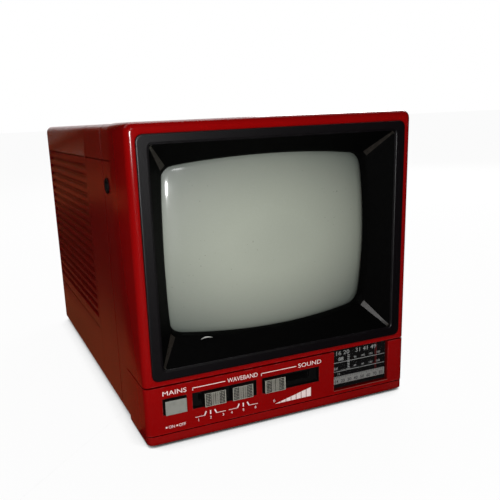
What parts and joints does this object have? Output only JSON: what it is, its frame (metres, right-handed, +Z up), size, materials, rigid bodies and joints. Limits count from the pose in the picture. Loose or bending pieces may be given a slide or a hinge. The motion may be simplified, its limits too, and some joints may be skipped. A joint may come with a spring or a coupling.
{
  "type": "portable television with radio",
  "caption": "Small red portable television with a radio: deep ribbed box, black screen surround, picture tube, slide controls, tuning dial with thumbwheel and a folding rod antenna.",
  "frame": {"origin": "middle of the overall box, on the surface that the feet stand on", "axes": "+X to the viewer's right when facing the screen, +Y from the screen to the back, +Z up"},
  "size_m": [0.149, 0.2444, 0.149],
  "materials": {
    "cabinet_red": "semi-gloss",
    "mask_black": "satin",
    "tube_glass": "polished",
    "tube_coating": "graphite coated",
    "control_grey": "satin",
    "black_plastic": "matte",
    "dial_black": "printed",
    "lens_clear": "clear",
    "pointer_red": "gloss",
    "drive_plastic": "moulded",
    "board_brown": "resin bonded paper",
    "plated_steel": "zinc plated",
    "tin_plate": "tinned",
    "heat_sink_metal": "bare",
    "ferrite": "sintered",
    "coil_former": "varnished",
    "sleeve_blue": "shrink sleeve",
    "cone_paper": "pressed paper",
    "lead_red": "insulated wire",
    "cord_fibre": "waxed",
    "antenna_chrome": "polished",
    "rubber_black": "matte"
  },
  "bodies": {
    "set": {"front_frame": "cabinet_red", "control_panel": "cabinet_red", "mid_cabinet": "cabinet_red", "rear_cover": "cabinet_red", "screen_mask": "mask_black", "tube_face": "tube_glass", "tube_funnel": "tube_coating", "tube_band": "plated_steel", "tube_base": "black_plastic", "tube_socket": "board_brown", "deflection_yoke": "coil_former", "anode_cap": "rubber_black", "anode_lead": "lead_red", "slot_backing": "black_plastic", "power_switch": "black_plastic", "selector_switch": "black_plastic", "volume_control": "black_plastic", "control_board": "board_brown", "dial_lens": "lens_clear", "dial_plate": "dial_black", "dial_cord": "cord_fibre", "dial_bracket": "plated_steel", "tuning_capacitor": "drive_plastic", "main_board": "board_brown", "flyback_transformer": "coil_former", "tuner_module": "tin_plate", "heat_sink": "heat_sink_metal", "filter_capacitor": "sleeve_blue", "ferrite_rod": "ferrite", "speaker_basket": "plated_steel", "speaker_cone": "cone_paper", "earphone_jack": "black_plastic", "dc_jack": "black_plastic", "brightness_pot": "plated_steel", "contrast_pot": "plated_steel", "hold_pot": "plated_steel", "antenna_bracket": "black_plastic", "cover_screw_left": "plated_steel", "cover_screw_right": "plated_steel", "foot_front_left": "rubber_black", "foot_front_right": "rubber_black", "foot_rear_left": "rubber_black", "foot_rear_right": "rubber_black"},
    "power_button": {"power_button": "control_grey"},
    "band_slider": {"band_slider": "control_grey"},
    "range_slider": {"range_slider": "control_grey"},
    "volume_slider": {"volume_slider": "control_grey"},
    "tuning": {"tuning_wheel": "black_plastic", "tuning_shaft": "plated_steel"},
    "pointer": {"dial_pointer": "pointer_red"},
    "idler_left": {"idler_left": "drive_plastic"},
    "idler_right": {"idler_right": "drive_plastic"},
    "brightness": {"brightness_knob": "black_plastic"},
    "contrast": {"contrast_knob": "black_plastic"},
    "hold": {"hold_knob": "black_plastic"},
    "antenna_swivel": {"antenna_swivel": "black_plastic"},
    "antenna_rod": {"antenna_tube_1": "antenna_chrome"},
    "antenna_second": {"antenna_tube_2": "antenna_chrome"},
    "antenna_third": {"antenna_tube_3": "antenna_chrome"},
    "antenna_end": {"antenna_tip": "antenna_chrome"}
  },
  "joints": [
    {"name": "power_press", "type": "slide", "parent": "set", "child": "power_button", "axis": [0, 1, 0], "range_m": [0, 0.002], "stiffness_N_per_m": 600},
    {"name": "band_select", "type": "slide", "parent": "set", "child": "band_slider", "axis": [1, 0, 0], "range_m": [-0.005, 0]},
    {"name": "range_select", "type": "slide", "parent": "set", "child": "range_slider", "axis": [1, 0, 0], "range_m": [-0.0024, 0.0024]},
    {"name": "volume_slide", "type": "slide", "parent": "set", "child": "volume_slider", "axis": [1, 0, 0], "range_m": [0, 0.02]},
    {"name": "tuning_turn", "type": "hinge", "parent": "set", "child": "tuning", "pos_m": [0.0545, -0.057, 0.0167], "axis": [0, 0, 1], "range_deg": [-165, 10]},
    {"name": "pointer_slide", "type": "slide", "parent": "set", "child": "pointer", "axis": [1, 0, 0], "range_m": [-0.0252, 0.0016]},
    {"name": "idler_left_turn", "type": "hinge", "parent": "set", "child": "idler_left", "pos_m": [0.0295, -0.1071, 0.0167], "axis": [0, 0, 1], "range_deg": [-500, 35]},
    {"name": "idler_right_turn", "type": "hinge", "parent": "set", "child": "idler_right", "pos_m": [0.0615, -0.1071, 0.0167], "axis": [0, 0, 1], "range_deg": [-500, 35]},
    {"name": "brightness_turn", "type": "hinge", "parent": "set", "child": "brightness", "pos_m": [-0.0465, 0.11, 0.062], "axis": [0, 1, 0], "range_deg": [-150, 150]},
    {"name": "contrast_turn", "type": "hinge", "parent": "set", "child": "contrast", "pos_m": [-0.0215, 0.11, 0.062], "axis": [0, 1, 0], "range_deg": [-150, 150]},
    {"name": "hold_turn", "type": "hinge", "parent": "set", "child": "hold", "pos_m": [0.0035, 0.11, 0.062], "axis": [0, 1, 0], "range_deg": [-150, 150]},
    {"name": "antenna_swing", "type": "hinge", "parent": "set", "child": "antenna_swivel", "pos_m": [0.0485, 0.119, 0.134], "axis": [0, 1, 0], "range_deg": [0, 180]},
    {"name": "antenna_tilt", "type": "hinge", "parent": "antenna_swivel", "child": "antenna_rod", "pos_m": [0.0485, 0.119, 0.134], "axis": [0, 0, -1], "range_deg": [0, 90]},
    {"name": "antenna_second_slide", "type": "slide", "parent": "antenna_rod", "child": "antenna_second", "axis": [-1, 0, 0], "range_m": [0, 0.08]},
    {"name": "antenna_third_slide", "type": "slide", "parent": "antenna_second", "child": "antenna_third", "axis": [-1, 0, 0], "range_m": [0, 0.08]},
    {"name": "antenna_end_slide", "type": "slide", "parent": "antenna_third", "child": "antenna_end", "axis": [-1, 0, 0], "range_m": [0, 0.08]}
  ],
  "couplings": [
    {"joint": "pointer_slide", "follows": "tuning_turn", "m_per_rad": 0.0087},
    {"joint": "idler_left_turn", "follows": "tuning_turn", "ratio": 3},
    {"joint": "idler_right_turn", "follows": "tuning_turn", "ratio": 3}
  ]
}
